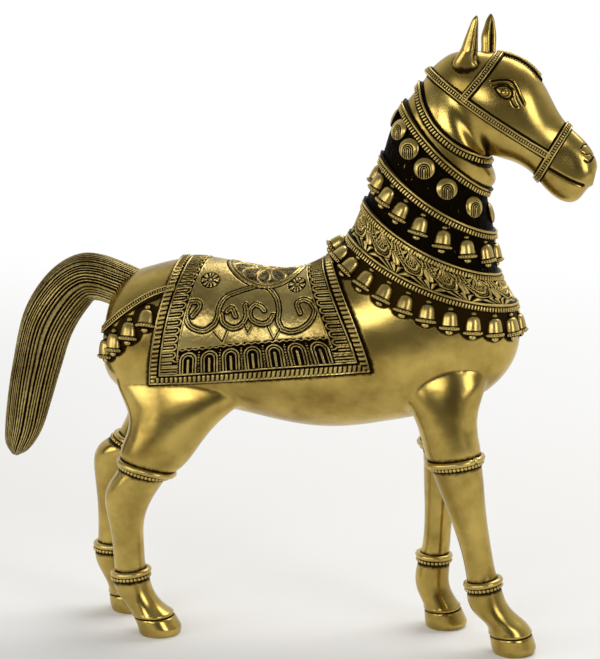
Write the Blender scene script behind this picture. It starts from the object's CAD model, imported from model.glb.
import math

import bpy
import numpy as np
from mathutils import Matrix, Vector
from mathutils.bvhtree import BVHTree
from mathutils.kdtree import KDTree


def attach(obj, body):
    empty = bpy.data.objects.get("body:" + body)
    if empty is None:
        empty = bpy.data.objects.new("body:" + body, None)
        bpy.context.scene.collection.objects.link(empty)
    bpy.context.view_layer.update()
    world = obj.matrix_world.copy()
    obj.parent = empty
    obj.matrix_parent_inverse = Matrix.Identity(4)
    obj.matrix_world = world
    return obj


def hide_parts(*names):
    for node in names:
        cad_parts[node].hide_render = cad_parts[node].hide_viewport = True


# A standing horse in cast and chased brass. The castings are smooth and polished; collars, straps,
# bells, saddle cloth and tail are chased, and dark patina lies in their recesses.
# Lengths are written in millimetres and turned to metres by MM. The horse faces +X, and the
# photograph shows its right side, at -Y.
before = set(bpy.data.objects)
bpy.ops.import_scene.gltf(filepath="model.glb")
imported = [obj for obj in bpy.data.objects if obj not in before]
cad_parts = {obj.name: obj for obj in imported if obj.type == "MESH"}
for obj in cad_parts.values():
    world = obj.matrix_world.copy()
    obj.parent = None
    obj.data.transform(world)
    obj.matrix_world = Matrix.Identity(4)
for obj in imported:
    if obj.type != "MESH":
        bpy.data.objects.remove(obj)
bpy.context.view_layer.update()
MM = 0.001

# The photograph's camera: what it looks at, how far it stands, and its turn and rise in degrees
VIEW_TARGET = Vector((5, 0, 168)) * MM
VIEW_DISTANCE = 1150 * MM
VIEW_TURN = 9.5
VIEW_RISE = 11.0
VIEW_FOCAL_PX = 2139
IMAGE_WIDTH = 600
IMAGE_HEIGHT = 659
turn, rise = math.radians(VIEW_TURN), math.radians(VIEW_RISE)
view_back = Vector((math.sin(turn) * math.cos(rise), -math.cos(turn) * math.cos(rise), math.sin(rise)))
view_eye = VIEW_TARGET + view_back * VIEW_DISTANCE
view_right = (-view_back).cross(Vector((0, 0, 1))).normalized()
view_up = view_right.cross(-view_back)


# Small helpers for modelling as by hand
def select_only(*pieces):
    bpy.ops.object.select_all(action="DESELECT")
    for piece in pieces:
        piece.select_set(True)
    bpy.context.view_layer.objects.active = pieces[0]


def start_from(primitive, name, **settings):
    """A new primitive, to be shaped into a piece."""
    bpy.ops.object.select_all(action="DESELECT")
    primitive(**settings)
    piece = bpy.context.active_object
    piece.name = name
    return piece


def edit_all(piece, operator, **settings):
    """Uses one edit mode operator on the whole of a piece."""
    select_only(piece)
    bpy.ops.object.mode_set(mode="EDIT")
    bpy.ops.mesh.select_all(action="SELECT")
    operator(**settings)
    bpy.ops.object.mode_set(mode="OBJECT")


def cut_away(piece, point, normal):
    """Cuts off what lies behind a plane, given in millimetres, and closes the cut."""
    spot = tuple(value * MM for value in point)
    edit_all(piece, bpy.ops.mesh.bisect, plane_co=spot, plane_no=normal, use_fill=True, clear_inner=True)


def finish_modifier(piece, kind, **settings):
    """Adds one modifier and applies it."""
    select_only(piece)
    modifier = piece.modifiers.new(kind.title(), kind)
    for name, value in settings.items():
        setattr(modifier, name, value)
    bpy.ops.object.modifier_apply(modifier=modifier.name)


def add_object(name, data):
    piece = bpy.data.objects.new(name, data)
    bpy.context.scene.collection.objects.link(piece)
    return piece


def new_piece(name, points, faces):
    """A mesh piece from points in metres."""
    mesh = bpy.data.meshes.new(name)
    mesh.from_pydata([tuple(point) for point in points], [], faces)
    return add_object(name, mesh)


def grid_faces(rows, columns, closed, sign=1):
    """The faces of a grid of points, whose columns may close round. A sign of -1 turns them over."""
    index = np.arange(rows * columns).reshape(rows, columns)
    if closed:
        index = np.hstack([index, index[:, :1]])
    corners = [index[:-1, :-1], index[:-1, 1:], index[1:, 1:], index[1:, :-1]]
    return np.stack(corners[::sign], axis=-1).reshape(-1, 4).tolist()


def tube_faces(rows, columns):
    """The faces of a closed tube of points, with one across each end."""
    last_row = (rows - 1) * columns
    ends = [list(range(columns))[::-1], list(range(last_row, last_row + columns))]
    return grid_faces(rows, columns, True) + ends


def join_pieces(name, pieces):
    select_only(*pieces)
    if len(pieces) > 1:
        bpy.ops.object.join()
    piece = bpy.context.view_layer.objects.active
    piece.name = name
    return piece


def merged_copy(name, nodes):
    """One copy of CAD nodes, joined, with the corners of their loose triangles merged."""
    piece = join_pieces(name, [add_object(name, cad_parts[node].data.copy()) for node in nodes])
    piece.data.materials.clear()
    edit_all(piece, bpy.ops.mesh.remove_doubles, threshold=0.002 * MM)
    return piece


def copies_of(model, matrices):
    """One copy of a small model at each place, each with its own mesh."""
    copies = [add_object(model.name, model.data.copy()) for _ in matrices]
    for copy, matrix in zip(copies, matrices):
        copy.data.transform(matrix)
    return copies


def discard(piece):
    bpy.data.objects.remove(piece)


def loose_parts(piece):
    edit_all(piece, bpy.ops.mesh.separate, type="LOOSE")
    return list(bpy.context.selected_objects)


def read_vectors(items, name):
    values = np.empty(len(items) * 3, np.float32)
    items.foreach_get(name, values)
    return values.reshape(-1, 3).astype(float)


def read_points(piece):
    return read_vectors(piece.data.vertices, "co")


def read_normals(piece):
    return read_vectors(piece.data.vertex_normals, "vector")


def write_points(piece, points):
    piece.data.vertices.foreach_set("co", points.astype(np.float32).ravel())
    piece.data.update()


def write_recess(piece, values):
    """How deep in a recess each point lies, from 0 polished to 1 under patina."""
    attribute = piece.data.attributes.get("recess") or piece.data.attributes.new("recess", "FLOAT", "POINT")
    values = np.broadcast_to(values, len(piece.data.vertices))
    attribute.data.foreach_set("value", np.clip(values, 0, 1).astype(np.float32))


def smooth_shade(piece, degrees=180):
    select_only(piece)
    if degrees < 180:
        bpy.ops.object.shade_smooth_by_angle(angle=math.radians(degrees))
    else:
        bpy.ops.object.shade_smooth()


def unit(direction):
    return direction / np.linalg.norm(direction)


# Lines and places on a surface
def tree_of(*meshes):
    """A search tree over the faces of meshes."""
    points, faces, start = [], [], 0
    for mesh in meshes:
        points.extend(vertex.co.copy() for vertex in mesh.vertices)
        faces.extend([start + index for index in face.vertices] for face in mesh.polygons)
        start = len(points)
    return BVHTree.FromPolygons(points, faces)


def surface_of(*nodes):
    return tree_of(*(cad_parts[node].data for node in nodes))


def distances(points, line):
    """Each point's distance to the nearest point of a finely sampled line."""
    tree = KDTree(len(line))
    for index, point in enumerate(line):
        tree.insert(point, index)
    tree.balance()
    return np.array([tree.find(point)[2] for point in points])


def smooth_line(controls, step):
    """A smooth line through control points, sampled about every step."""
    controls = [np.array(point, float) for point in controls]
    ends = [2 * controls[0] - controls[1]] + controls + [2 * controls[-1] - controls[-2]]
    line = []
    for a, b, c, d in zip(ends, ends[1:], ends[2:], ends[3:]):
        count = max(2, int(np.linalg.norm(c - b) / step))
        for t in np.arange(count) / count:
            bend = 2 * b + (c - a) * t + (2 * a - 5 * b + 4 * c - d) * t**2
            line.append(0.5 * (bend + (3 * b - a - 3 * c + d) * t**3))
    line.append(controls[-1])
    return line


def side_arc(start, middle, end, count=260):
    """Points of the side view in metres, on the shallow arc through three points in millimetres."""
    start, middle, end = (np.array(point, float) for point in (start, middle, end))
    steps = np.linspace(0, 1, count)[:, None]
    arc = start * (1 - steps) * (1 - 2 * steps) + middle * 4 * steps * (1 - steps)
    return (arc + end * steps * (2 * steps - 1)) * MM


def photo_spot(tree, px, py):
    """The point of a surface that the photograph shows at a pixel, or None."""
    ray = -view_back * VIEW_FOCAL_PX + view_right * (px - IMAGE_WIDTH / 2)
    ray -= view_up * (py - IMAGE_HEIGHT / 2)
    return tree.ray_cast(view_eye, ray.normalized())[0]


def photo_line(tree, controls, step=1.2):
    """A line drawn on the photograph, as points on the surface it shows."""
    spots = [photo_spot(tree, px, py) for px, py in smooth_line(controls, step)]
    return smooth_line([np.array(spot) for spot in spots if spot is not None], 0.3 * MM)


def closed_up(chain, closed):
    chain = np.array(chain)
    return np.vstack([chain, chain[:1]]) if closed else chain


def way_along(line):
    """The length along a line up to each of its points."""
    return np.concatenate([[0], np.cumsum(np.linalg.norm(np.diff(line, axis=0), axis=1))])


def resample(chain, count, closed):
    """Even steps along a chain of points."""
    chain = closed_up(chain, closed)
    along = way_along(chain)
    targets = np.linspace(0, along[-1], count, endpoint=not closed)
    return np.column_stack([np.interp(targets, along, chain[:, axis]) for axis in range(3)])


def side_hits(tree, line, sign):
    """Where a line of the side view meets a surface, on its right side (-1) or its left side (1)."""
    hits = [tree.ray_cast(Vector((x, sign * 100 * MM, z)), Vector((0, -sign, 0)))[0] for x, z in line]
    return [np.array(hit) for hit in hits if hit is not None]


def band_chain(tree, line):
    """A band that a line of the side view cuts out of a surface: from the line's start along the
    right side, over the ridge at its end, and back along the left side."""
    return side_hits(tree, line, -1) + side_hits(tree, line, 1)[::-1]


def places_on(tree, chain, pitch, closed):
    """Even places along a chain, each a point on the surface, its normal and a direction."""
    length = way_along(closed_up(chain, closed))[-1]
    spots = resample(chain, max(4, round(length / (pitch * MM))), closed)
    places = []
    for index, spot in enumerate(spots):
        before = spots[index - 1] if closed or index else spot
        after = spots[(index + 1) % len(spots)] if closed or index + 1 < len(spots) else spot
        point, normal = tree.find_nearest(Vector(spot))[:2]
        along = Vector(after - before)
        along = (along - normal * along.dot(normal)).normalized()
        places.append((point, normal, along))
    return places


def shifted(places, side, lift):
    """The centre line moved sideways on the surface and off it, in millimetres."""
    return [point + normal.cross(along) * side * MM + normal * lift * MM for point, normal, along in places]


def axes_matrix(spot, across, up, out):
    """Puts a model at a spot and turns its X, Y and Z to three directions."""
    return Matrix.Translation(Vector(spot)) @ Matrix((across, up, out)).transposed().to_4x4()


def laid_along(model, places, side, lift):
    """Copies of a small model along a band: X along it, Y across it and Z out of the surface."""
    spots = shifted(places, side, lift)
    return copies_of(
        model,
        [
            axes_matrix(spot, along, normal.cross(along), normal)
            for spot, (_, normal, along) in zip(spots, places)
        ],
    )


def bead_along(name, places, side, lift, radius, closed):
    """A round cast bead that runs along a band."""
    curve = bpy.data.curves.new(name, "CURVE")
    curve.dimensions = "3D"
    curve.bevel_depth = radius * MM
    curve.bevel_resolution = 2
    curve.use_fill_caps = True
    line = shifted(places, side, lift)
    spline = curve.splines.new("POLY")
    spline.points.add(len(line) - 1)
    for spline_point, spot in zip(spline.points, line):
        spline_point.co = (*spot, 1)
    spline.use_cyclic_u = closed
    piece = add_object(name, curve)
    select_only(piece)
    bpy.ops.object.convert(target="MESH")
    smooth_shade(piece)
    write_recess(piece, 0)
    return piece


# Chased skins: grids of surface points that are raised along their normals
def hump(distance, centre, width):
    """A rounded ridge of height 1 across a line, in the same lengths as the distance."""
    return np.exp(-(((distance - centre) / width) ** 2))


def ramp(distance, width):
    """0 up to a line, and rising to 1 over a width beyond it."""
    return np.clip(distance / width, 0, 1)


def ripple(angle):
    """A wave between 0 and 1, with a crest where the angle is 0."""
    return 0.5 + 0.5 * np.cos(angle)


def grid_normals(grid, closed, tree):
    """Smooth outward normals of a grid of points, whose columns may close round, and whether they
    follow the order of its rows and columns (1) or not (-1)."""
    if closed:
        along = np.roll(grid, -1, axis=1) - np.roll(grid, 1, axis=1)
    else:
        along = np.gradient(grid, axis=1)
    normals = np.cross(along, np.gradient(grid, axis=0))
    normals /= np.maximum(np.linalg.norm(normals, axis=2, keepdims=True), 1e-12)
    middle = grid.shape[0] // 2, grid.shape[1] // 3
    outwards = np.array(tree.find_nearest(Vector(grid[middle]))[1])
    sign = 1 if normals[middle] @ outwards > 0 else -1
    return normals * sign, sign


def relaxed(grid, rounds, closed):
    """Evens out the facets of a sampled grid."""
    for _ in range(rounds):
        wide = np.pad(grid, ((1, 1), (0, 0), (0, 0)), mode="edge")
        grid = (wide[:-2] + 2 * wide[1:-1] + wide[2:]) / 4
        wide = np.pad(grid, ((0, 0), (1, 1), (0, 0)), mode="wrap" if closed else "edge")
        grid = (wide[:, :-2] + 2 * wide[:, 1:-1] + wide[:, 2:]) / 4
    return grid


def lengths_over(grid, axis):
    """The length in millimetres down the columns (axis 0) or along the rows (axis 1) of a grid."""
    steps = np.linalg.norm(np.diff(grid, axis=axis), axis=2) / MM
    start = np.zeros_like(np.take(steps, [0], axis=axis))
    return np.cumsum(np.concatenate([start, steps], axis=axis), axis=axis)


def chased_skin(name, grid, normals, sign, heights, recess, closed):
    """A chased surface: grid points raised along their normals by heights in millimetres."""
    points = grid + normals * heights[..., None] * MM
    piece = new_piece(name, points.reshape(-1, 3), grid_faces(*heights.shape, closed, sign))
    smooth_shade(piece)
    write_recess(piece, recess.ravel())
    return piece


def patina_near(points, line, strength, away, width):
    """Patina of some strength along a line: how far away from it, and how wide, in millimetres."""
    return strength * hump(distances(points, line) / MM, away, width)


# Surfaces that the ornament lies on
torso_surface = surface_of("torso_right", "torso_left", "neck")
head_surface = surface_of("head")


# Materials, with the sizes of their patterns in millimetres
CLOUD_SIZE = 25.0
SWELL_SIZE = 18.1818
# Real polishing marks are finer than the render can show, so they are drawn as coarse as this
SPECK_SIZE = 1.66667


def linear(hex_colour):
    """An sRGB hex value as the linear colour that the shader takes."""
    values = [int(hex_colour[index : index + 2], 16) / 255 for index in (0, 2, 4)]
    return tuple(v / 12.92 if v <= 0.04045 else ((v + 0.055) / 1.055) ** 2.4 for v in values) + (1,)


def add_node(tree, kind, inputs=None, output=0, **settings):
    """Adds one node with its settings, and gives one of its outputs. An input takes a value or
    another node's output."""
    node = tree.nodes.new("ShaderNode" + kind)
    for name, value in settings.items():
        setattr(node, name, value)
    for key, value in (inputs or {}).items():
        if isinstance(value, bpy.types.NodeSocket):
            tree.links.new(value, node.inputs[key])
        else:
            node.inputs[key].default_value = value
    return node.outputs[output] if node.outputs else None


def brass(name, polish, patina, roughness, tarnish, scratch, swell):
    """Brass with patina where the recess attribute says so. Polish and roughness are pairs: clean
    and tarnished colour, polished and patinated roughness. Tarnish is how strongly the polish
    clouds over; scratch is the depth of the polishing marks and swell that of the casting's soft
    unevenness, in mm."""
    material = bpy.data.materials.new(name)
    material.use_nodes = True
    tree = material.node_tree
    tree.nodes.clear()
    place = add_node(tree, "TexCoord", output="Object")
    recess = add_node(tree, "Attribute", output="Fac", attribute_name="recess")
    clouds = {"Vector": place, "Scale": 1 / (CLOUD_SIZE * MM), "Detail": 4.0, "Roughness": 0.6}
    clouds = add_node(tree, "TexNoise", clouds)
    swells = add_node(tree, "TexNoise", {"Vector": place, "Scale": 1 / (SWELL_SIZE * MM), "Detail": 1.5})
    specks = add_node(tree, "TexNoise", {"Vector": place, "Scale": 1 / (SPECK_SIZE * MM), "Detail": 3.0})

    # Patina with a broken edge
    broken = add_node(tree, "Math", {0: specks, 1: 0.5, 2: recess}, operation="MULTIPLY_ADD")
    dark = {"Value": broken, "From Min": 0.45, "From Max": 0.95}
    dark = add_node(tree, "MapRange", dark, interpolation_type="SMOOTHSTEP")
    cloudy = {"Value": clouds, "From Min": 0.38, "From Max": 0.66, "To Max": tarnish}
    cloudy = add_node(tree, "MapRange", cloudy)
    toned = {0: cloudy, 6: linear(polish[0]), 7: linear(polish[1])}
    toned = add_node(tree, "Mix", toned, output=2, data_type="RGBA")
    colour = add_node(tree, "Mix", {0: dark, 6: toned, 7: linear(patina)}, output=2, data_type="RGBA")

    # Roughness, polishing marks and unevenness
    rough = add_node(tree, "MapRange", {"Value": dark, "To Min": roughness[0], "To Max": roughness[1]})
    rough = add_node(tree, "Math", {0: clouds, 1: 0.08, 2: rough}, operation="MULTIPLY_ADD")
    marks = add_node(tree, "Bump", {"Height": specks, "Strength": 0.35, "Distance": scratch * MM})
    bump = {"Height": swells, "Normal": marks, "Strength": 1.0, "Distance": swell * MM}
    bump = add_node(tree, "Bump", bump)
    shader = {"Base Color": colour, "Roughness": rough, "Normal": bump, "Metallic": 1.0}
    shader = add_node(tree, "BsdfPrincipled", shader)
    add_node(tree, "OutputMaterial", {"Surface": shader})
    return material


# Cast brass, filed and buffed: a warm golden shine that is soft and cloudy, with faint polishing marks
polished_brass = brass(
    "polished_brass", ("C4AA5C", "8E7434"), "2A1D08", (0.2, 0.55), tarnish=0.8, scratch=0.05, swell=0.5
)
# Chased brass: bright, worn ridges over almost black recesses
chased_brass = brass(
    "chased_brass", ("CDB56C", "9C8444"), "120C04", (0.27, 0.6), tarnish=0.6, scratch=0.08, swell=0.0
)
# Broad chased work, on the cloths and the tail: the same ridges, duller and browner where hands rub it
cloth_brass = brass(
    "cloth_brass", ("CDB772", "86703A"), "120C04", (0.27, 0.6), tarnish=1.0, scratch=0.08, swell=0.2
)
# Brass left under its patina: a nearly black band that sets off the bright work on it
patinated_brass = brass(
    "patinated_brass", ("2E230E", "1C1407"), "120C04", (0.5, 0.6), tarnish=1.0, scratch=0.1, swell=0.0
)


def dress(piece, material, *nodes):
    """Gives a finished piece its material, its body and the CAD nodes that it stands for."""
    piece.data.materials.clear()
    piece.data.materials.append(material)
    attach(piece, "root")
    if nodes:
        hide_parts(*nodes)


# Rungs of the chased ladders on collars, straps and cloth edges: length, width and height
def rung_model(name, length, across, height):
    rung = start_from(bpy.ops.mesh.primitive_cube_add, name, size=1, location=(0, 0, 0))
    rung.data.transform(Matrix.Diagonal((length * MM, across * MM, height * MM, 1)))
    finish_modifier(rung, "BEVEL", width=0.22 * length * MM, segments=2)
    smooth_shade(rung)
    low, high = -0.3 * height, 0.25 * height
    write_recess(rung, (high - read_points(rung)[:, 2] / MM) / (high - low))
    return rung


collar_rung = rung_model("collar_rung", length=0.95, across=2.3, height=1.2)
strap_rung = rung_model("strap_rung", length=0.75, across=1.45, height=0.8)
forehead_rung = rung_model("forehead_rung", length=0.75, across=4.0, height=0.8)

# Collars: a smooth bead above and a ladder of rungs below it, on each collar's dark band
SAG = 0.08
COLLAR_REACH = 8.0
COLLAR_PITCH = 1.65
FINE_PITCH = 1.5
BEAD_RADIUS = 0.62
BEAD_SIDE = 1.5
BEAD_LIFT = 1.75
RUNG_SIDE = -0.8
RUNG_LIFT = 1.4
# Crest point and throat point of each collar in the side view, between which it sags
COLLAR_CHORDS = {
    "throat_collar": ((72.90, 307.44), (104.31, 261.91)),
    "second_collar": ((60.90, 290.24), (105.14, 245.99)),
    "third_collar": ((49.40, 262.54), (107.78, 223.90)),
    "fourth_collar": ((40.70, 238.44), (110.56, 202.07)),
    "fifth_collar": ((32.93, 220.98), (119.41, 186.46)),
}
# The throat collar sags more than its node, so it is laid anew on these spots of the photograph
THROAT_SPOTS = [(419.5, 86.5), (422.5, 108.0), (434.5, 129.5), (453.2, 146.3), (474.2, 157.4), (487.0, 161.5)]
THROAT_REACH = 9
# Dark bands added under two collars: distances from the collar's middle line, and heights there
THROAT_BAND = ((-3.0, -2.6, -2.2, 2.1, 2.5, 2.9), (-0.5, 0.3, 1.1, 1.1, 0.3, -0.5))
SECOND_EDGE = ((2.0, 2.6, 3.0, 3.4), (0.5, 0.5, 0.3, -0.5))


def collar_line(top, low):
    """The side view of a collar, which sags between its crest point and its throat point."""
    top, low = np.array(top), np.array(low)
    depth = np.linalg.norm(low - top)
    along = (low - top) / depth
    middle = (top + low) / 2 + np.array((along[1], -along[0])) * (SAG * depth)
    return side_arc(top - along * COLLAR_REACH, middle, low + along * COLLAR_REACH)


def lengthened(line, reach):
    """A side view line in metres, drawn out straight at both ends by some millimetres."""
    line = np.array(line)
    steps = np.arange(1, 31)[:, None] * reach / 30 * MM
    first, last = unit(line[0] - line[3]), unit(line[-1] - line[-4])
    return np.vstack([(line[0] + first * steps)[::-1], line, line[-1] + last * steps])


def throat_line():
    spots = [photo_spot(torso_surface, *spot) for spot in THROAT_SPOTS]
    line = smooth_line([(spot.x, spot.z) for spot in spots if spot is not None], 0.4 * MM)
    return lengthened(line, THROAT_REACH)


def dark_band(name, places, sides, heights):
    """A low dark band along a collar, which frames its bead and ladder."""
    grid = np.array([[tuple(spot) for spot in shifted(places, side, 0)] for side in sides])
    normals = np.tile(np.array([tuple(place[1]) for place in places]), (len(sides), 1, 1))
    lifts = np.tile(np.array(heights)[:, None], (1, len(places)))
    facing = np.cross(tuple(places[0][2]), grid[1, 0] - grid[0, 0]) @ normals[0, 0]
    sign = 1 if facing > 0 else -1
    dress(chased_skin(name, grid, normals, sign, lifts, np.ones(lifts.shape), True), chased_brass)


collar_spots = []
fine_places = {}
for name, (top, low) in COLLAR_CHORDS.items():
    line = throat_line() if name == "throat_collar" else collar_line(top, low)
    chain = band_chain(torso_surface, line)
    fine = places_on(torso_surface, chain, FINE_PITCH, True)
    steps = places_on(torso_surface, chain, COLLAR_PITCH, True)
    fine_places[name] = fine
    collar_spots.extend(tuple(place[0]) for place in fine)
    dress(bead_along(name + "_bead", fine, BEAD_SIDE, BEAD_LIFT, BEAD_RADIUS, True), chased_brass)
    ladder = join_pieces(name + "_ladder", laid_along(collar_rung, steps, RUNG_SIDE, RUNG_LIFT))
    if name == "throat_collar":
        dark_band("throat_collar_band", fine, *THROAT_BAND)
        dress(ladder, chased_brass, name)
    else:
        dress(ladder, chased_brass)
dark_band("second_collar_edge", fine_places["second_collar"], *SECOND_EDGE)


# Torso casting with the four upper limbs, cast in one skin: remeshed so that the limbs grow out of it
CASTING_NODES = ("torso_right", "torso_left", "right_forearm", "left_forearm", "right_thigh", "left_thigh")
CASTING_VOXEL = 1.3
SEAM_OVERLAP = 0.25
RUMP_END = np.array((-107.0, 0.0, 151.0)) * MM
RUMP_SOFTNESS = 6.5


def largest_part(piece):
    """Keeps the outer skin of a piece and drops its inner walls."""
    parts = sorted(loose_parts(piece), key=lambda part: len(part.data.vertices))
    for part in parts[:-1]:
        discard(part)
    return parts[-1]


def casting(name, nodes, voxel, smoothing, cut=None, added=()):
    """CAD nodes cast in one skin. A cut gives a plane's point and normal; added pieces join in."""
    piece = merged_copy(name, nodes)
    if cut:
        cut_away(piece, *cut)
    if added:
        piece = join_pieces(name, [piece, *added])
    # The left half moves in a little, so that the skin closes over the seam between the halves
    points = read_points(piece)
    points[:, 1] -= np.where(points[:, 1] > 0, SEAM_OVERLAP * MM, 0)
    write_points(piece, points)
    finish_modifier(piece, "REMESH", mode="VOXEL", voxel_size=voxel * MM, use_smooth_shade=True)
    piece = largest_part(piece)
    finish_modifier(piece, "SMOOTH", factor=0.5, iterations=smoothing)
    piece.name = name
    smooth_shade(piece)
    return piece


def soften(piece, away, reach, rounds):
    """Smooths a piece where its points lie within reach of a line or spot, in millimetres."""
    group = piece.vertex_groups.new(name="softened")
    for index in np.nonzero(away < 2 * reach)[0]:
        group.add([int(index)], float(hump(away[index], 0, reach)), "REPLACE")
    finish_modifier(piece, "SMOOTH", factor=0.5, iterations=rounds, vertex_group=group.name)
    piece.vertex_groups.clear()


torso_casting = casting("torso_casting", CASTING_NODES, CASTING_VOXEL, smoothing=8)
rump_away = np.linalg.norm(read_points(torso_casting) - RUMP_END, axis=1) / MM
soften(torso_casting, rump_away, RUMP_SOFTNESS, rounds=120)
casting_surface = tree_of(torso_casting.data)


# Bells: loop, dome, beaded lip and clapper, with the back half sunk in the ground
BELL_PROFILE = [
    (0.0, 0.5), (-0.3, 1.3), (-1.2, 1.85), (-2.0, 1.4), (-2.4, 1.0), (-2.6, 1.9),
    (-3.1, 2.9), (-4.2, 3.65), (-6.2, 4.15), (-8.4, 4.4), (-9.7, 4.55), (-9.95, 4.1),
    (-10.35, 4.1), (-10.55, 4.75), (-11.2, 5.0), (-12.0, 4.9), (-12.35, 4.5), (-12.4, 3.0),
    (-12.1, 1.2), (-12.5, 1.65), (-13.2, 2.1), (-14.0, 2.0), (-14.6, 1.3), (-14.9, 0.4),
]
BELL_SIDES = 22
BELL_BACK = -0.8
BELL_FLATTENING = 0.8
LIP_HEIGHT = -11.3
LIP_RADIUS = 4.85
LIP_BEADS = 10
LIP_BEAD_RADIUS = 0.72
# A crupper bell leans as the surface does half its length below its top, and stands off a little
BELL_HALF = 7.5
BELL_LIFT = 0.4
# The patina round a bell lies about this depth below its top
BELL_MIDDLE = 7.0
# The crupper's bells hang from these spots of the photograph on the right side, and from the same
# places on the left side
CRUPPER_SPOTS = [(148.5, 305.5), (130.5, 317.5), (115.0, 328.5), (106.5, 335.0)]


def turned_model(name, profile, sides):
    """A circle extruded and resized along a profile of height and radius, as on a lathe."""
    (start, first_radius), *_ = profile
    model = start_from(
        bpy.ops.mesh.primitive_circle_add, name, vertices=sides, radius=first_radius * MM, fill_type="NGON"
    )
    bpy.ops.object.mode_set(mode="EDIT")
    bpy.ops.mesh.select_all(action="SELECT")
    bpy.ops.transform.translate(value=(0, 0, start * MM))
    for (height, radius), (next_height, next_radius) in zip(profile, profile[1:]):
        share = next_radius / radius
        step = (0, 0, (next_height - height) * MM)
        bpy.ops.mesh.extrude_region_move(TRANSFORM_OT_translate={"value": step})
        bpy.ops.transform.resize(value=(share, share, 1), center_override=(0, 0, next_height * MM))
    bpy.ops.mesh.select_all(action="SELECT")
    bpy.ops.mesh.normals_make_consistent(inside=False)
    bpy.ops.object.mode_set(mode="OBJECT")
    return model


def bell_model():
    """A bell that hangs down Z from the origin, with X across it and Y out of the ground."""
    body = turned_model("bell", BELL_PROFILE, BELL_SIDES)
    cut_away(body, (0, BELL_BACK, 0), (0, 1, 0))
    # Patina in the groove over the lip, under the lip, in the neck, round the beads and at the back
    x, out, height = read_points(body).T / MM
    radius = np.hypot(x, out)
    groove = hump(height, -10.15, 0.25) * (radius < 4.3)
    under = (height < -12.2) & (height > -12.6) & (radius < 4.6)
    neck = hump(height, -2.45, 0.35)
    lip = 0.75 * hump(height, LIP_HEIGHT, 0.75)
    write_recess(body, groove + under + neck + lip + 0.8 * (out < 0.3))
    smooth_shade(body, 45)
    beads = []
    for number in range(LIP_BEADS):
        angle = math.pi * (number + 0.5) / LIP_BEADS
        spot = Vector((LIP_RADIUS * math.cos(angle), LIP_RADIUS * math.sin(angle), LIP_HEIGHT)) * MM
        bead = start_from(
            bpy.ops.mesh.primitive_ico_sphere_add,
            "lip_bead",
            subdivisions=2,
            radius=LIP_BEAD_RADIUS * MM,
            location=spot,
        )
        bpy.ops.object.transform_apply()
        write_recess(bead, 0)
        smooth_shade(bead)
        beads.append(bead)
    model = join_pieces("bell", [body] + beads)
    model.data.transform(Matrix.Diagonal((1, BELL_FLATTENING, 1, 1)))
    return model


def loose_solids(node):
    """The separate solids of a CAD node. Of each: its middle, its long, middle and short direction,
    and its points, in metres."""
    solids = []
    for part in loose_parts(merged_copy("solids", [node])):
        centres = np.array([tuple(face.center) for face in part.data.polygons])
        areas = np.array([face.area for face in part.data.polygons])
        middle = (centres * areas[:, None]).sum(axis=0) / areas.sum()
        spread = ((centres - middle) * areas[:, None]).T @ (centres - middle)
        directions = np.linalg.eigh(spread)[1][:, ::-1].T
        solids.append((middle, directions, read_points(part)))
        discard(part)
    return sorted(solids, key=lambda solid: tuple(np.round(solid[0], 5)))


def hanging_matrix(solid, tree):
    """Where a bell hangs: the model's origin at the solid's top on its flat back."""
    middle, directions, points = solid
    up = directions[0] * np.sign(directions[0][2])
    out = np.array(tree.find_nearest(Vector(middle))[1])
    out = unit(out - up * (out @ up))
    offsets = points - middle
    start = middle + up * (offsets @ up).max() + out * (offsets @ out).min()
    return axes_matrix(start, np.cross(out, up), out, up)


def crupper_matrices():
    """Places of the crupper's bells, four on each side, as close as the photograph shows them."""
    matrices = []
    for spot in CRUPPER_SPOTS:
        top = photo_spot(casting_surface, *spot)
        middle, outwards = casting_surface.find_nearest(top - Vector((0, 0, BELL_HALF * MM)))[:2]
        for mirror in (1, -1):
            flip = Matrix.Diagonal((1, mirror, 1))
            up = (flip @ (top - middle)).normalized()
            out = flip @ outwards
            out = (out - up * out.dot(up)).normalized()
            matrices.append(axes_matrix(flip @ top + out * BELL_LIFT * MM, out.cross(up), out, up))
    return matrices


bell = bell_model()
bell_spots = []
for node in ("upper_bells", "lower_bells", "crupper_bells"):
    if node == "crupper_bells":
        matrices = crupper_matrices()
    else:
        matrices = [hanging_matrix(solid, torso_surface) for solid in loose_solids(node)]
    bell_spots.extend(matrix @ Vector((0, 0, -BELL_MIDDLE * MM)) for matrix in matrices)
    dress(join_pieces(node + "_chased", copies_of(bell, matrices)), chased_brass, node)
discard(bell)


# Discs: domed bosses with nested arches chased in their lower half
DISC_RADIUS = 5.9
DISC_CROWN = 2.6
DISC_CELLS = 46
DISC_ARCHES = (0.12, 0.3, 0.48)


def disc_model():
    """A disc with X across it, Y up and Z out of the ground."""
    model = start_from(
        bpy.ops.mesh.primitive_grid_add, "disc", x_subdivisions=DISC_CELLS, y_subdivisions=DISC_CELLS, size=2
    )
    square = read_points(model)
    x = square[:, 0] * np.sqrt(1 - square[:, 1] ** 2 / 2)
    y = square[:, 1] * np.sqrt(1 - square[:, 0] ** 2 / 2)
    out = np.hypot(x, y)
    dome = DISC_CROWN * np.sqrt(np.clip(1 - out**2.2, 0, 1))
    arch = np.hypot(x, np.maximum(y + 0.12, 0))
    lower_half = 1 / (1 + np.exp((y - 0.48) * 30))
    lines = sum(hump(arch, radius, 0.06) for radius in DISC_ARCHES) * lower_half * (out < 0.9)
    rim = out > 0.985
    write_points(
        model, np.column_stack([x * DISC_RADIUS, y * DISC_RADIUS, dome - 0.5 * lines - 0.9 * rim]) * MM
    )
    write_recess(model, 1.1 * lines + hump(out, 1.0, 0.07))
    smooth_shade(model)
    return model


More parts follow.
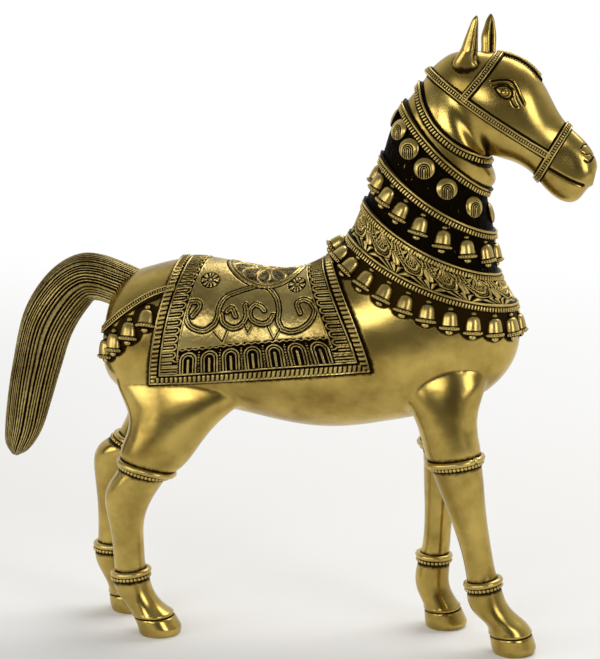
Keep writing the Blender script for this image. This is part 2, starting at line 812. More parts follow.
def boss_matrix(middle, tree):
    """Where a disc sits: the model's origin on the ground under the solid's middle."""
    ground, out = (np.array(value) for value in tree.find_nearest(Vector(middle))[:2])
    up = unit(np.array((0, 0, 1.0)) - out * out[2])
    return axes_matrix(ground, np.cross(up, out), up, out)


disc = disc_model()
disc_places = [boss_matrix(solid[0], torso_surface) for solid in loose_solids("neck_discs")]
dress(join_pieces("neck_discs_chased", copies_of(disc, disc_places)), chased_brass, "neck_discs")
discard(disc)


# Grounds between the collars: the lotus band, and the dark punched grounds behind discs and bells
BAND_COLUMNS = 780
LOTUS_ROUND = 12
LOTUS_RADIUS = 7.9
# How far a half medallion reaches down, as a share of the band's depth
LOTUS_REACH = 11.8 / 19
rng = np.random.default_rng(7)


def blurred(values, reach):
    for axis in (0, 1):
        values = sum(np.roll(values, shift, axis) for shift in range(-reach, reach + 1)) / (2 * reach + 1)
    return values


def punched(shape, depth):
    """Fine punch marks that break up a dark ground."""
    return depth * (blurred(rng.random(shape), 1) - 0.5) * 3


def band_lines(upper, lower, rows):
    """Side view lines from one collar's middle line down to the next."""
    (top_a, low_a), (top_b, low_b) = (np.array(COLLAR_CHORDS[name]) for name in (upper, lower))
    for share in np.linspace(0.0, 1.0, rows):
        yield collar_line(top_a + (top_b - top_a) * share, low_a + (low_b - low_a) * share)


def ground_skin(name, upper, lower, rows, heights_of):
    """A chased ground between two collars. heights_of gives heights and recess from each point's
    share round the neck, its girth there, and its distances from both collars' middle lines."""
    lines = band_lines(upper, lower, rows)
    grid = np.array([resample(band_chain(torso_surface, line), BAND_COLUMNS, True) for line in lines])
    grid = relaxed(grid, 3, True)
    normals, sign = grid_normals(grid, True, torso_surface)
    down = lengths_over(grid, 0)
    girth = np.linalg.norm(np.roll(grid, -1, axis=1) - grid, axis=2).sum(axis=1)[:, None] / MM
    around = np.tile(np.arange(BAND_COLUMNS) / BAND_COLUMNS, (rows, 1))
    heights, recess = heights_of(around, girth, down, down[-1] - down)
    dress(chased_skin(name, grid, normals, sign, heights, recess, True), chased_brass)


def dark_ground(around, girth, down, left):
    """A dark ground with scattered bright grains."""
    grains = punched(around.shape, 0.3)
    return 0.35 + grains, 0.95 - 0.6 * ramp(grains - 0.16, 0.1)


def lotus_ground(around, girth, down, left):
    """Half medallions that hang from the upper collar, with leaves between them."""
    pitch = girth / LOTUS_ROUND
    across = ((around * LOTUS_ROUND) % 1 - 0.5) * pitch
    drop = np.maximum(down - 1.8, 0) * LOTUS_RADIUS / (LOTUS_REACH * (down + left))
    out = np.hypot(across * LOTUS_RADIUS / (pitch / 2 * 0.94), drop)
    angle = np.arctan2(drop, across)
    petals = ripple(angle * 18) ** 0.7 * (out > 1.6) * (out < 5.3)
    rims = hump(out, 5.9, 0.42) + hump(out, 7.7, 0.46)
    dots = hump(out, 6.75, 0.35) * ripple(angle * 52)
    heart = hump(out, 0.9, 0.7)
    leaf_across = np.abs(((around * LOTUS_ROUND + 0.5) % 1 - 0.5) * pitch)
    leaf_drop = left - 2.0
    leaf = (out > 8.5) * ripple(np.arctan2(leaf_drop, leaf_across) * 13) ** 0.8
    leaf = leaf * (np.hypot(leaf_across, leaf_drop) > 1.0)
    shape = np.clip(np.maximum.reduce([petals, rims, 0.8 * dots, heart, 0.85 * leaf]), 0, 1)
    return 0.35 + 0.95 * shape, 1.05 - 1.15 * shape


ground_skin("lotus_band", "fourth_collar", "fifth_collar", 64, lotus_ground)
ground_skin("disc_ground", "second_collar", "third_collar", 36, dark_ground)
ground_skin("bell_ground", "third_collar", "fourth_collar", 36, dark_ground)


# Saddle cloth, chased: outer ladder, petal border, row of arches, scrolls and the spine medallion
CLOTH_REAR = side_arc((-55.15, 218.8), (-65.36, 181.84), (-72.4, 140.76))
CLOTH_FRONT = side_arc((16.81, 223.0), (39.06, 180.58), (48.59, 153.28))
CLOTH_HEM = side_arc((-72.4, 140.76), (-10.43, 146.98), (48.59, 153.28))
CLOTH_COLUMNS = 290
CLOTH_ROWS = 190
CORE_HEIGHT = 168 * MM

# The cloth's ends slant, so a length along a row is shortened to give the distance from an end
REAR_SLANT = 0.976
FRONT_SLANT = 0.93

# Where the cloth's patterns lie, in millimetres from its edge
LADDER_WIDTH = 6.6
LADDER_PITCH = 2.55
BORDER_WIDTH = 15.4
PETAL_PITCH = 4.35
PETAL_LENGTH = 5.6
ARCH_TOP = 20.6
ARCH_SPRING = 7.4
ARCHES = 7
EDGE_SINK = -0.7

# Lines of the field, drawn on the photograph in pixels, and the medallion, in millimetres
SCROLLS = [
    [(260.9, 286.7), (270.1, 290.5), (277.0, 299.7), (279.3, 310.4), (278.5, 321.1), (282.4, 329.6)],
    [(282.4, 329.6), (291.5, 331.8), (302.3, 328.8), (311.4, 321.1), (315.3, 310.4), (311.4, 302.8)],
    [(311.4, 302.8), (303.8, 300.5), (297.7, 304.3), (300.7, 313.5)],
    [(256.3, 287.5), (238.0, 292.8), (225.7, 298.2), (219.6, 307.4), (218.1, 316.5), (215.0, 324.2)],
    [(215.0, 324.2), (205.8, 330.3), (196.6, 329.5), (189.0, 324.2), (186.7, 313.5), (190.5, 302.8)],
    [(190.5, 302.8), (198.2, 302.8), (199.7, 307.4), (192.8, 316.5)],
    [(245.6, 305.8), (246.4, 316.5), (241.0, 325.7), (231.8, 328.0), (223.4, 322.6), (221.9, 315.0)],
    [(227.3, 312.0), (231.8, 308.9), (235.7, 316.5)],
    [(273.2, 316.5), (268.6, 322.7), (260.9, 324.2), (251.7, 319.6), (250.2, 310.4), (254.8, 305.1)],
    [(254.8, 305.1), (260.9, 307.3), (264.7, 311.2)],
]
LEAVES = [
    [(213.5, 331.8), (222.7, 341.8), (228.0, 328.8)],
    [(244.1, 324.2), (247.9, 332.6), (251.7, 325.7)],
    [(267.0, 325.7), (273.9, 340.3), (280.1, 328.8)],
]
FLOWERS = [(210.4, 281.3), (297.7, 285.9)]
FLOWER_PETALS = 10
MEDALLION_X = -12.5
MEDALLION_RADIUS = 20.5


def cloth_grid():
    """Points of the casting's right side under the cloth, from the hem up to the spine."""
    # Sections across the casting, a millimetre apart, each with a point at every degree
    stations = np.linspace(-80, 58, 139) * MM
    angles = np.radians(np.linspace(90, -70, 161))
    sections = []
    for x in stations:
        section = []
        for angle in angles:
            out = Vector((0, -math.cos(angle), math.sin(angle)))
            core = Vector((x, 0, CORE_HEIGHT))
            hit = casting_surface.ray_cast(core + out * 0.12, -out)[0]
            section.append((hit.y, hit.z))
        section = np.array(section)
        along = way_along(section)
        hem_height = np.interp(x, CLOTH_HEM[:, 0], CLOTH_HEM[:, 1])
        hem_along = np.interp(-hem_height, -section[:, 1], along)
        wanted = np.linspace(hem_along, 0, CLOTH_ROWS)
        sections.append(np.column_stack([np.interp(wanted, along, section[:, axis]) for axis in (0, 1)]))
    sections = np.array(sections)
    rows = []
    for row in range(CLOTH_ROWS):
        sides, heights = sections[:, row].T
        ends = []
        # A few rounds find where this row meets the slanting edge
        for edge, x in ((CLOTH_REAR, -0.06), (CLOTH_FRONT, 0.03)):
            for _ in range(6):
                x = np.interp(-np.interp(x, stations, heights), -edge[:, 1], edge[:, 0])
            ends.append(x)
        x = np.linspace(*ends, CLOTH_COLUMNS)
        rows.append(np.column_stack([x, np.interp(x, stations, sides), np.interp(x, stations, heights)]))
    grid = relaxed(np.array(rows), 3, False)
    grid[-1, :, 1] = 0
    return grid


def ladder_relief(edge, beside):
    """The outer ladder between its two rims."""
    rung = ripple(2 * np.pi * beside / LADDER_PITCH) ** 0.7
    shoulder = ramp(4.7 - edge, 0.5) * ramp(edge - 0.9, 0.4)
    ladder = np.where(edge < 4.9, 0.75 + 1.15 * rung * shoulder, 0.55)
    ladder = np.maximum(ladder, 0.6 + 1.5 * hump(edge, 0.45, 0.5))
    return np.maximum(ladder, 0.5 + 1.3 * hump(edge, 5.95, 0.42))


def petal_relief(edge, up):
    """The petal border along both sides: long loops, open outwards."""
    across = edge - LADDER_WIDTH
    petal = (up - LADDER_WIDTH) % PETAL_PITCH - PETAL_PITCH / 2
    loop = np.where(across < PETAL_LENGTH, np.abs(petal), np.hypot(petal, across - PETAL_LENGTH))
    petals = np.maximum(1.05 * hump(loop, 1.62, 0.42), 0.85 * hump(loop, 0, 0.5) * (across < 6.2))
    return 0.65 + np.maximum(petals, 1.1 * hump(across, 8.3, 0.4))


def arch_relief(from_rear, from_front, up):
    """The row of double arches, with twisted cords between them and a wavy line above."""
    width = from_rear + from_front - 2 * BORDER_WIDTH
    pitch = width / ARCHES
    spot = (((from_rear - BORDER_WIDTH) / np.maximum(width, 1) * ARCHES) % 1 - 0.5) * pitch
    climb = up - LADDER_WIDTH
    arch = np.where(climb < ARCH_SPRING, np.abs(spot), np.hypot(spot, climb - ARCH_SPRING))
    cord = hump(np.abs(spot), pitch / 2, 0.75) * (0.55 + 0.45 * np.sin(2 * np.pi * (climb + spot) / 1.5))
    wave = 12.8 + 0.7 * np.abs(np.sin(np.pi * spot / pitch * 3))
    return 0.6 + np.maximum.reduce(
        [
            1.1 * hump(arch, 4.15, 0.42),
            hump(arch, 2.7, 0.36),
            0.9 * hump(arch, 0, 0.8),
            cord * (climb < 11.5),
            0.9 * hump(climb, wave, 0.4),
        ]
    )


def medallion_relief(x, away):
    """The lotus medallion on the spine: where it lies, and its raised lines."""
    out = np.hypot(x - MEDALLION_X, away)
    angle = np.arctan2(away, x - MEDALLION_X)
    petal = np.abs((angle / (np.pi / 5)) % 1 - 0.5)
    petal_edge = np.abs(petal - 0.42 * np.sqrt(np.clip(1 - ((out - 11.5) / 6.2) ** 2, 0, 1)))
    in_petals = (out > 5.3) & (out < 17.7)
    return out, np.maximum.reduce(
        [
            hump(out, MEDALLION_RADIUS, 0.45),
            hump(out, MEDALLION_RADIUS - 2.0, 0.4),
            hump(petal_edge * out * 0.63, 0, 0.4) * in_petals,
            hump(out, 4.2, 0.5),
            0.8 * hump(out, 0, 1.8),
        ]
    )


def field_lines(grid, up):
    """Raised lines and grooves of the field: scrolls, leaves, flowers and the medallion."""
    spots = grid.reshape(-1, 3)
    shape = grid.shape[:2]
    leaf_sides = [pair for leaf in LEAVES for pair in zip(leaf, leaf[1:])]
    scroll_points = [spot for scroll in SCROLLS for spot in photo_line(casting_surface, scroll)]
    leaf_points = [spot for side in leaf_sides for spot in photo_line(casting_surface, side)]
    near = distances(spots, scroll_points).reshape(shape) / MM
    leaves = distances(spots, leaf_points).reshape(shape) / MM
    lines = np.maximum(hump(near, 0.62, 0.3), 0.8 * hump(leaves, 0.6, 0.3))
    grooves = hump(near, 0, 0.28) + hump(near, 1.35, 0.36) + hump(leaves, 0, 0.35)
    for flower in FLOWERS:
        offset = grid - np.array(photo_spot(casting_surface, *flower))
        out = np.linalg.norm(offset, axis=2) / MM
        angle = np.arctan2(offset[..., 2], offset[..., 0])
        petals = (out > 1.7) * (out < 4.4)
        petal = ripple(angle * FLOWER_PETALS)
        lines = np.maximum(lines, petal * petals)
        grooves = np.maximum(grooves, hump(out, 1.35, 0.35) + 0.7 * hump(out, 4.8, 0.4))
        grooves = np.maximum(grooves, (1 - petal) * petals)
    out, medallion = medallion_relief(grid[..., 0] / MM, up[-1] - up)
    inside = out < MEDALLION_RADIUS + 0.6
    lines = np.where(inside, medallion, lines)
    grooves = np.where(inside, 0.42 * (1 - medallion), grooves)
    return lines, np.maximum(grooves, hump(out, MEDALLION_RADIUS + 1.2, 0.4))


def cloth_chasing(grid):
    """Heights in millimetres and recess of the cloth's chasing."""
    along, up = lengths_over(grid, 1), lengths_over(grid, 0)
    from_rear = along * REAR_SLANT
    from_front = (along[:, -1:] - along) * FRONT_SLANT
    from_side = np.minimum(from_rear, from_front)
    edge = np.minimum(from_side, up)
    border = (edge > LADDER_WIDTH) & (from_side < BORDER_WIDTH)
    arch_row = (edge > LADDER_WIDTH) & (from_side >= BORDER_WIDTH) & (up < ARCH_TOP)
    field = (from_side >= BORDER_WIDTH) & (up >= ARCH_TOP)

    heights = ladder_relief(edge, np.where(up < from_side, along, up))
    inner_rim = heights * (edge < LADDER_WIDTH + 0.1)
    heights = np.where(border, np.maximum(petal_relief(edge, up), inner_rim), heights)
    heights = np.where(arch_row, np.maximum(arch_relief(from_rear, from_front, up), inner_rim), heights)
    lines, grooves = field_lines(grid, up)
    hatch = 0.5 + 0.5 * np.sin(2 * np.pi * (along - 0.8 * up) / 1.25)
    punch = punched(grid.shape[:2], 0.07)
    heights = np.where(field, 1.15 + 0.55 * lines - 0.5 * grooves + punch + 0.07 * hatch, heights)

    recess = ramp(1.5 - heights, 0.75)
    field_recess = np.clip(grooves - 0.6 * lines, 0, 1) + np.clip(-punch * 4, 0, 0.4) + 0.3 * (1 - hatch)
    recess = np.where(field, field_recess, recess)
    for outer in (np.s_[0, :], np.s_[:, 0], np.s_[:, -1]):
        heights[outer] = EDGE_SINK
    for outer in (np.s_[:2, :], np.s_[:, :2], np.s_[:, -2:]):
        recess[outer] = 1
    return heights, recess


cloth = cloth_grid()
cloth_relief = cloth_chasing(cloth)
cloth_normals, cloth_sign = grid_normals(cloth, False, casting_surface)
mirror_side = np.array((1.0, -1.0, 1.0))
right_cloth = chased_skin("saddle_cloth_right", cloth, cloth_normals, cloth_sign, *cloth_relief, False)
left_cloth = chased_skin(
    "saddle_cloth_left", cloth * mirror_side, cloth_normals * mirror_side, -cloth_sign, *cloth_relief, False
)
dress(right_cloth, cloth_brass, "saddle_cloth", "saddle_border")
dress(left_cloth, cloth_brass)


# Tail of thick grooved strands, swept along its hanging line
TAIL_ROOT = (-91.47, 188.98)
TAIL_LENGTH = 100
TAIL_THICKNESS = 26
# X and Z from the root as shares of the length, half depth and half width as shares of the
# thickness, and the turn in degrees of each section
TAIL_SECTIONS = [
    (0.08, -0.02, 0.40, 0.36, 162),
    (0.0, 0.0, 0.46, 0.42, 162),
    (-0.135, 0.043, 0.485, 0.46, 176),
    (-0.23, 0.036, 0.525, 0.50, 201),
    (-0.335, -0.052, 0.56, 0.52, 230),
    (-0.437, -0.219, 0.56, 0.52, 242),
    (-0.506, -0.459, 0.51, 0.50, 254),
    (-0.55, -0.638, 0.465, 0.46, 257),
    (-0.588, -0.8, 0.40, 0.39, 258),
    (-0.625, -0.911, 0.27, 0.27, 254),
    (-0.644, -0.965, 0.08, 0.08, 250),
]
TAIL_STRANDS = 45
TAIL_COLUMNS = 450
STRAND_DEPTH = 1.0


def strand_shape(share, turn):
    """The tail's surface from 0 in a groove to 1 on a strand. The strands drift, bunch and waver,
    their grooves differ in depth, and the top of the tail's root is nearly smooth."""
    drift = 0.9 * np.sin(4.2 * share) + 0.4 * np.sin(11 * share + 1)
    uneven = 0.9 * np.sin(turn * 3) + 0.55 * np.sin(turn * 7 + 1) + 0.4 * np.sin(turn * 13 + 2)
    waver = 0.35 * np.sin(9 * share + 5 * turn)
    strand = np.abs(np.sin(TAIL_STRANDS * turn / 2 + drift + uneven + waver)) ** 0.8
    depths = 0.7 + 0.3 * np.sin(12 * turn + 7 * share)
    smooth_top = 1 - 0.7 * hump(share, 0.1, 0.13) * np.clip(1.3 * np.cos(turn), 0, 1)
    return 1 - (1 - strand) * depths * smooth_top


def tail_piece():
    scales = np.array((TAIL_LENGTH, TAIL_LENGTH, TAIL_THICKNESS, TAIL_THICKNESS, 1))
    line = np.array(smooth_line(np.array(TAIL_SECTIONS) * scales + (*TAIL_ROOT, 0, 0, 0), 0.9))
    along = way_along(line[:, :2])
    share = (along / along[-1])[:, None]
    turn = (2 * np.pi * np.arange(TAIL_COLUMNS) / TAIL_COLUMNS)[None, :]
    none = np.zeros(len(line))
    centre = np.column_stack([line[:, 0], none, line[:, 1]])
    angle = np.radians(line[:, 4])
    across = np.column_stack([-np.sin(angle), none, np.cos(angle)])
    strand = strand_shape(share, turn)
    fade = np.clip(share / 0.05, 0.25, 1) * np.clip((1 - share) / 0.12, 0.15, 1)
    sink = STRAND_DEPTH * (1 - strand) * fade
    grid = (
        centre[:, None, :]
        + across[:, None, :] * ((line[:, 2:3] - sink) * np.cos(turn))[..., None]
        + np.array((0.0, 1.0, 0.0)) * ((line[:, 3:4] - sink) * np.sin(turn))[..., None]
    ) * MM
    piece = new_piece("tail_strands", grid.reshape(-1, 3), tube_faces(len(line), TAIL_COLUMNS))
    edit_all(piece, bpy.ops.mesh.normals_make_consistent, inside=False)
    smooth_shade(piece)
    write_recess(piece, (0.22 + 1.35 * (1 - strand) ** 0.8).ravel())
    return piece


dress(tail_piece(), cloth_brass, "tail")


# Leg rings: a smooth round ring over a beaded cord, laid round each leg where its ring node sits
SIDES = ("right", "left")
LIMBS = [side + "_" + limb for side in SIDES for limb in ("forearm", "fore_cannon", "thigh", "hind_cannon")]
HOOVES = [side + "_" + hoof for hoof in ("fore_hoof", "hind_hoof") for side in SIDES]
limb_surface = surface_of(*LIMBS, *HOOVES)
RING_RADIUS = 1.75
RING_PITCH = 1.2
RING_LIFT = 0.7
RING_RISE = 0.9
CORD_RADIUS = 1.05
CORD_PITCH = 1.95
CORD_LIFT = 0.55
CORD_DROP = 2.6


def bead_model(name, radius):
    """A cast bead, dark at its foot."""
    model = start_from(bpy.ops.mesh.primitive_ico_sphere_add, name, subdivisions=2, radius=radius * MM)
    smooth_shade(model)
    write_recess(model, 0.9 - read_points(model)[:, 2] / (radius * MM) * 1.2)
    return model


def ring_chain(centre, axis, tree):
    """Where a plane through a leg cuts its skin."""
    first = unit(np.cross(axis, (1.0, 0, 0)))
    second = np.cross(axis, first)
    chain = []
    for angle in np.linspace(0, 2 * np.pi, 72, endpoint=False):
        out = first * math.cos(angle) + second * math.sin(angle)
        hit = tree.ray_cast(Vector(centre + out * 0.03), Vector(-out))[0]
        if hit is not None:
            chain.append(np.array(hit))
    return chain


cord_bead = bead_model("cord_bead", CORD_RADIUS)
ring_spots = []
for node in ("upper_leg_rings", "fetlock_rings"):
    pieces = []
    for middle, directions, _ in loose_solids(node):
        axis = directions[2] * np.sign(directions[2][2])
        upper = ring_chain(middle + axis * RING_RISE * MM, axis, limb_surface)
        lower = ring_chain(middle - axis * (CORD_DROP - RING_RISE) * MM, axis, limb_surface)
        ring_spots.extend(upper + lower)
        places = places_on(limb_surface, upper, RING_PITCH, True)
        pieces.append(bead_along(node + "_ring", places, 0, RING_LIFT, RING_RADIUS, True))
        places = places_on(limb_surface, lower, CORD_PITCH, True)
        pieces.extend(laid_along(cord_bead, places, 0, CORD_LIFT))
    dress(join_pieces(node + "_cast", pieces), chased_brass, node)
discard(cord_bead)


# Bridle straps and crupper: a rim along each edge and rungs between, laid on their bands
POLL = np.array((72.9, 307.44))
HEAD_LENGTH = 92
STRAP_PITCH = 1.4
STRAP_LIFT = 1.05
STRAP_EDGE = 1.45
FOREHEAD_EDGE = 2.7
RIM_PITCH = 1.2
RIM_RADIUS = 0.45
RIM_LIFT = 1.15


def bridle_chain(*shares):
    """A strap's band on the head, from three spots in shares of the head's length from the poll."""
    spots = (tuple(POLL + np.array(share) * HEAD_LENGTH) for share in shares)
    return band_chain(head_surface, side_arc(*spots))


def ridge_chain(tree, start, end):
    """The top of a surface along the horse's middle, between two X in millimetres."""
    hits = [tree.ray_cast(Vector((x * MM, 0, 1)), Vector((0, 0, -1)))[0] for x in np.arange(start, end, 0.5)]
    return [np.array(hit) for hit in hits if hit is not None]


crupper_line = side_arc((-58.1, 192.76), (-80.8, 183.1), (-108.04, 158.32))
STRAPS = {
    "noseband": bridle_chain((0.60, -0.64), (0.715, -0.43), (0.83, -0.24)),
    "cheek_straps": bridle_chain((0.69, -0.46), (0.26, -0.18), (-0.08, 0.06)),
    "brow_strap": bridle_chain((0.21, -0.15), (0.33, 0.0), (0.44, 0.16)),
    "forehead_strap": ridge_chain(head_surface, 109.0, 130.5),
    "crupper": band_chain(casting_surface, crupper_line),
}
strap_spots = [spot for chain in STRAPS.values() for spot in chain]
for name, chain in STRAPS.items():
    tree = casting_surface if name == "crupper" else head_surface
    closed = name == "noseband"
    rung, edge = (forehead_rung, FOREHEAD_EDGE) if name == "forehead_strap" else (strap_rung, STRAP_EDGE)
    fine = places_on(tree, chain, RIM_PITCH, closed)
    steps = places_on(tree, chain, STRAP_PITCH, closed)
    for side, ending in ((edge, "_upper_rim"), (-edge, "_lower_rim")):
        dress(bead_along(name + ending, fine, side, RIM_LIFT, RIM_RADIUS, closed), chased_brass)
    dress(join_pieces(name + "_ladder", laid_along(rung, steps, 0, STRAP_LIFT)), chased_brass)
for model in (collar_rung, strap_rung, forehead_rung):
    discard(model)


# Ears, pointed and hollowed
EAR_COLUMNS = 48
EAR_STAND = 9.5
EAR_WIDEST = 4.3
# The side an ear stands on, where its hollow opens in degrees, and each section's height, back and
# front. EAR_WIDEST is half the greatest width.
EARS = {
    "right_ear": (
        -1,
        -18,
        [
            (305.0, 88.0, 100.4), (312.0, 86.2, 99.9), (319.2, 90.2, 99.9), (325.0, 92.4, 99.8),
            (330.7, 94.6, 99.7), (334.6, 96.3, 99.4), (336.5, 98.0, 98.9),
        ],
    ),
    "left_ear": (
        1,
        -48,
        [
            (305.0, 96.0, 106.6), (312.0, 98.4, 106.7), (318.5, 99.0, 106.8), (324.6, 98.9, 106.9),
            (330.5, 100.5, 106.1), (333.8, 101.6, 105.4), (336.4, 103.3, 104.1),
        ],
    ),
}


def ear_piece(name, side, opening, sections):
    rows = np.array(smooth_line(sections, 0.6))
    height, back, front = (rows[:, [column]] for column in range(3))
    turn = np.linspace(0, 2 * np.pi, EAR_COLUMNS, endpoint=False)
    away = np.abs((turn - math.radians(opening) + np.pi) % (2 * np.pi) - np.pi)
    climb = (height - height[0]) / (height[-1] - height[0])
    hollow = hump(away, 0, 0.5) * (ramp(climb - 0.2, 0.15) * ramp(1 - climb, 0.2))
    half_length = (front - back) / 2
    half_width = np.minimum(0.84 * half_length, EAR_WIDEST)
    out = 1 - 0.7 * hollow
    stand = side * (EAR_STAND + (height - 309) * 0.12)
    grid = np.stack(
        [
            (back + front) / 2 + half_length * np.cos(turn) * out,
            stand + half_width * np.sin(turn) * out,
            np.tile(height, (1, EAR_COLUMNS)),
        ],
        axis=-1,
    )
    piece = new_piece(name + "_cast", grid.reshape(-1, 3) * MM, tube_faces(len(rows), EAR_COLUMNS))
    smooth_shade(piece)
    write_recess(piece, (hollow + 0.8 * hump(climb, 0.1, 0.1)).ravel())
    dress(piece, polished_brass, name)


for name, (side, opening, sections) in EARS.items():
    ear_piece(name, side, opening, sections)


# The solid's open mouth is closed here, and the mouth line is cut where the photograph shows it
MOUTH_CORNER = np.array((137.8, 255.9))
MOUTH_ANGLE = math.radians(-31.0)
LIP_STEP = 0.95


def mouth_plug():
    along = np.array((math.cos(MOUTH_ANGLE), math.sin(MOUTH_ANGLE)))
    up = np.array((-along[1], along[0]))
    points = []
    for reach in np.arange(-1.0, 22.0, 0.5):
        edges = [(MOUTH_CORNER + along * reach + up * step) * MM for step in (LIP_STEP, -LIP_STEP)]
        hits = side_hits(head_surface, edges, -1)
        if len(hits) < 2:
            break
        above, below = hits
        points.extend([above, above * mirror_side, below * mirror_side, below])
    plug = new_piece("mouth_plug", points, tube_faces(len(points) // 4, 4))
    edit_all(plug, bpy.ops.mesh.normals_make_consistent, inside=False)
    return plug


# Head casting with the top of the neck: brow, eye, tear lines, nostril and mouth are cut in
HEAD_VOXEL = 0.52
JAW_SOFTNESS = 9.5
# The point and the normal of the planes that part the neck
NECK_CUT = ((76.7, 0, 261.8), (0.707, 0, 0.707))
NECK_TOP = ((78.8, 0, 263.9), (-0.707, 0, -0.707))
# Lines drawn on the photograph in pixels. Of each cut: its line, depth and width
JAW_CREASE = [(434, 84), (446, 104), (460, 125), (474, 142), (484, 153)]
EYE_CENTRE = (505.3, 92.4)
HEAD_CUTS = [
    ([(491.5, 81.0), (499.0, 79.8), (508.0, 80.0), (513.0, 82.5)], 0.8, 0.6),
    ([(513.5, 83.0), (516.5, 88.0), (519.5, 95.5), (523.4, 103.8)], 0.75, 0.55),
    ([(491.9, 85.9), (499.0, 84.0), (507.0, 84.2), (512.7, 89.0)], 0.6, 0.45),
    ([(494.5, 87.8), (500.0, 86.0), (507.0, 86.6), (512.0, 91.0), (512.5, 96.0)], 0.8, 0.55),
    ([(512.5, 96.0), (508.0, 98.8), (502.7, 97.7), (498.0, 93.5), (494.5, 87.8)], 0.8, 0.55),
    ([(510.7, 99.1), (514.0, 105.8), (517.4, 107.1)], 0.65, 0.45),
    ([(516.0, 97.0), (518.2, 102.5), (520.5, 105.8)], 0.5, 0.4),
    ([(581.0, 148.6), (584.3, 144.6), (590.3, 145.3), (593.7, 150.0), (594.4, 155.3)], 0.55, 0.42),
    ([(594.4, 155.3), (592.4, 160.0), (589.0, 162.7), (585.0, 160.7)], 0.55, 0.42),
    ([(582.3, 152.6), (585.7, 154.6), (590.3, 154.0), (592.4, 157.3), (589.7, 161.3)], 0.45, 0.36),
    ([(549.0, 169.0), (556.0, 173.0), (566.0, 178.5), (576.0, 183.0), (584.0, 186.0)], 1.3, 0.75),
]


def folded(points):
    """Points of both sides laid on the right side."""
    return np.column_stack([points[:, 0], -np.abs(points[:, 1]), points[:, 2]])


def head_piece():
    nodes = ("head", "neck")
    piece = casting("head_casting", nodes, HEAD_VOXEL, smoothing=4, cut=NECK_CUT, added=[mouth_plug()])
    # The jaw runs softly into the neck
    crease = photo_line(tree_of(piece.data), JAW_CREASE, 1.0)
    soften(piece, distances(folded(read_points(piece)), crease) / MM, JAW_SOFTNESS, rounds=260)
    points, normals = read_points(piece), read_normals(piece)
    right = folded(points)
    raised = np.zeros(len(points))
    recess = np.zeros(len(points))
    for controls, depth, width in HEAD_CUTS:
        away = distances(right, photo_line(head_surface, controls, 0.4)) / MM
        raised -= depth * hump(away, 0, width)
        recess = np.maximum(recess, 1.2 * hump(away, 0, width * 1.15))
    # Eye: a ball in a cut rim
    eye = np.array(photo_spot(head_surface, *EYE_CENTRE))
    away = np.linalg.norm(right - eye, axis=1) / MM
    raised += 1.0 * hump(away, 0, 2.4) - 0.4 * hump(away, 1.9, 0.3)
    recess = np.maximum(recess, 0.9 * hump(away, 1.9, 0.32))
    # Patina beside the straps, under the throat collar and round the feet of the ears
    recess = np.maximum(recess, patina_near(points, strap_spots, 0.95, 2.3, 0.75))
    recess = np.maximum(recess, patina_near(points, collar_spots, 0.9, 2.6, 1.3))
    for side, opening, sections in EARS.values():
        height, back, front = sections[1]
        foot = np.array(((back + front) / 2, side * EAR_STAND, height)) * MM
        away = np.linalg.norm(points - foot, axis=1) / MM
        recess = np.maximum(recess, 0.7 * hump(away, 6.0, 2.2))
    write_points(piece, points + normals * raised[:, None] * MM)
    write_recess(piece, recess)
    dress(piece, polished_brass, *nodes)


def neck_piece():
    """The rest of the neck, dark all over under its grounds."""
    piece = merged_copy("neck_casting", ("neck",))
    cut_away(piece, *NECK_TOP)
    smooth_shade(piece, 30)
    write_recess(piece, 1)
    dress(piece, polished_brass)


head_piece()
neck_piece()


# Lower legs, cast with their hooves: a line is cut round each hoof at the coronet
LEG_VOXEL = 0.8
CORONET_HEIGHT = 10.0
CORONET_SLOPE = 0.05


def leg_piece(side, end):
    nodes = (side + "_" + end + "_cannon", side + "_" + end + "_hoof")
    piece = casting(side + "_" + end + "_leg", nodes, LEG_VOXEL, smoothing=3)
    points, normals = read_points(piece), read_normals(piece)
    heights = points[:, 2] / MM
    front = points[:, 0] / MM
    hoof = front[heights < CORONET_HEIGHT]
    line = CORONET_HEIGHT + CORONET_SLOPE * (front - (hoof.min() + hoof.max()) / 2)
    groove = hump(heights, line, 0.5)
    raised = 0.35 * hump(heights, line + 1.2, 0.7) - 0.7 * groove
    points += normals * raised[:, None] * MM
    points[:, 2] = np.maximum(points[:, 2], 0)
    write_points(piece, points)
    write_recess(piece, np.maximum(1.2 * groove, patina_near(points, ring_spots, 0.95, 0, 3.2)))
    dress(piece, polished_brass, *nodes)


for side in SIDES:
    for end in ("fore", "hind"):
        leg_piece(side, end)


# Patina on the torso casting, where it lies in corners
def torso_patina():
    points = read_points(torso_casting)
    cloth_edge = np.vstack([cloth[0], cloth[:, 0], cloth[:, -1]])
    bells = distances(points, bell_spots) / MM
    collars = distances(points, collar_spots) / MM
    recess = np.maximum.reduce(
        [
            patina_near(points, np.vstack([cloth_edge, cloth_edge * mirror_side]), 0.85, 0, 2.2),
            0.95 * ramp(9.6 - bells, 2.2),
            0.95 * ramp(9.0 - collars, 1.5),
            patina_near(points, ring_spots, 0.9, 0, 3.4),
            patina_near(points, strap_spots, 0.9, 0, 3.0),
        ]
    )
    write_recess(torso_casting, recess)
    dress(torso_casting, polished_brass, *CASTING_NODES)


torso_patina()

# The CAD nodes that still show are bands of collars, straps and crupper, dark between their ridges
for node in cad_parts.values():
    node.data.materials.clear()
    node.data.materials.append(patinated_brass)

# Camera
camera_data = bpy.data.cameras.new("photo_camera")
camera_data.sensor_width = 36
camera_data.lens = VIEW_FOCAL_PX * camera_data.sensor_width / IMAGE_HEIGHT
camera = add_object("photo_camera", camera_data)
camera.location = view_eye
camera.rotation_euler = (-view_back).to_track_quat("-Z", "Y").to_euler()
bpy.context.scene.camera = camera

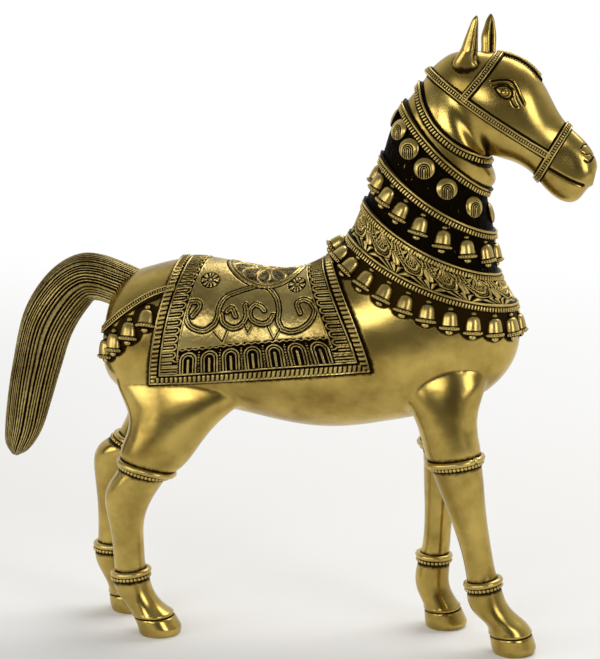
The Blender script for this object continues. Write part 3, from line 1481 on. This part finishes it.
# Studio floor: pale paper that fades into plain white behind the horse and ends well in front of it
FLOOR_SIZE = 60
# Metres along Y. Only the camera, gloss and glass see the white. The dark floor beyond the paper's
# end gives the brass something dark to mirror.
WHITE_START = 0.1
WHITE_END = 1.3
LEAST_WHITE = 0.1
PAPER_START = -0.3
PAPER_END = -0.75
floor = start_from(bpy.ops.mesh.primitive_plane_add, "studio_floor", size=FLOOR_SIZE, location=(0, 0, 0))
paper = bpy.data.materials.new("white_paper")
paper.use_nodes = True
tree = paper.node_tree
tree.nodes.clear()
place = add_node(tree, "TexCoord", output="Object")
depth = add_node(tree, "SeparateXYZ", {0: place}, output="Y")
white = {"Value": depth, "From Min": WHITE_START, "From Max": WHITE_END, "To Min": LEAST_WHITE}
white = add_node(tree, "MapRange", white, interpolation_type="SMOOTHSTEP")
rays = add_node(tree, "LightPath").node.outputs
seen = add_node(tree, "Math", {0: rays["Is Camera Ray"], 1: rays["Is Glossy Ray"]}, operation="MAXIMUM")
seen = add_node(tree, "Math", {0: seen, 1: rays["Is Transmission Ray"]}, operation="MAXIMUM")
white = add_node(tree, "Math", {0: white, 1: seen}, operation="MULTIPLY")
pale = {"Value": depth, "From Min": PAPER_END, "From Max": PAPER_START}
pale = add_node(tree, "MapRange", pale, interpolation_type="SMOOTHSTEP")
shade = {0: pale, 6: linear("4A4743"), 7: linear("F0EFEC")}
shade = add_node(tree, "Mix", shade, output=2, data_type="RGBA")
paint = add_node(tree, "BsdfDiffuse", {"Color": shade})
glow = add_node(tree, "Emission", {"Color": (1, 1, 1, 1), "Strength": 1.0})
mixed = add_node(tree, "MixShader", {0: white, 1: paint, 2: glow})
add_node(tree, "OutputMaterial", {"Surface": mixed})
floor.data.materials.append(paper)

# Studio room: pale behind the horse and overhead, dim behind the camera
world = bpy.data.worlds.new("studio_room")
bpy.context.scene.world = world
world.use_nodes = True
room = world.node_tree
room.nodes.clear()
direction = add_node(room, "TexCoord", output="Generated")
axes = add_node(room, "SeparateXYZ", {0: direction}).node.outputs
behind = {"Value": axes["Y"], "From Min": -0.6, "From Max": 0.5, "To Min": 0.04, "To Max": 0.75}
behind = add_node(room, "MapRange", behind)
overhead = {"Value": axes["Z"], "From Min": 0.3, "From Max": 1.0, "To Max": 0.35}
overhead = add_node(room, "MapRange", overhead)
level = add_node(room, "Math", {0: behind, 1: overhead}, operation="MAXIMUM")
glow = add_node(room, "Background", {"Color": level, "Strength": 1.0})
add_node(room, "OutputWorld", {"Surface": glow})


def soft_lamp(name, location, size, power):
    """A softbox that faces the middle of the horse. Metres and watts."""
    lamp_data = bpy.data.lights.new(name, "AREA")
    lamp_data.shape = "RECTANGLE"
    lamp_data.size, lamp_data.size_y = size
    lamp_data.energy = power
    lamp = add_object(name, lamp_data)
    lamp.location = location
    lamp.rotation_euler = (Vector((0, 0, 0.17)) - Vector(location)).to_track_quat("-Z", "Y").to_euler()


soft_lamp("front_softbox", (-0.27, -1.5, 0.66), (0.8, 0.4), 5)
soft_lamp("left_softbox", (-1.2, -1.0, 0.5), (1.0, 0.8), 7)
soft_lamp("right_softbox", (1.15, -0.95, 0.6), (0.5, 0.8), 5)
soft_lamp("back_softbox", (0.4, 0.7, 1.25), (1.2, 0.8), 11)

bpy.context.scene.view_settings.view_transform = "Standard"
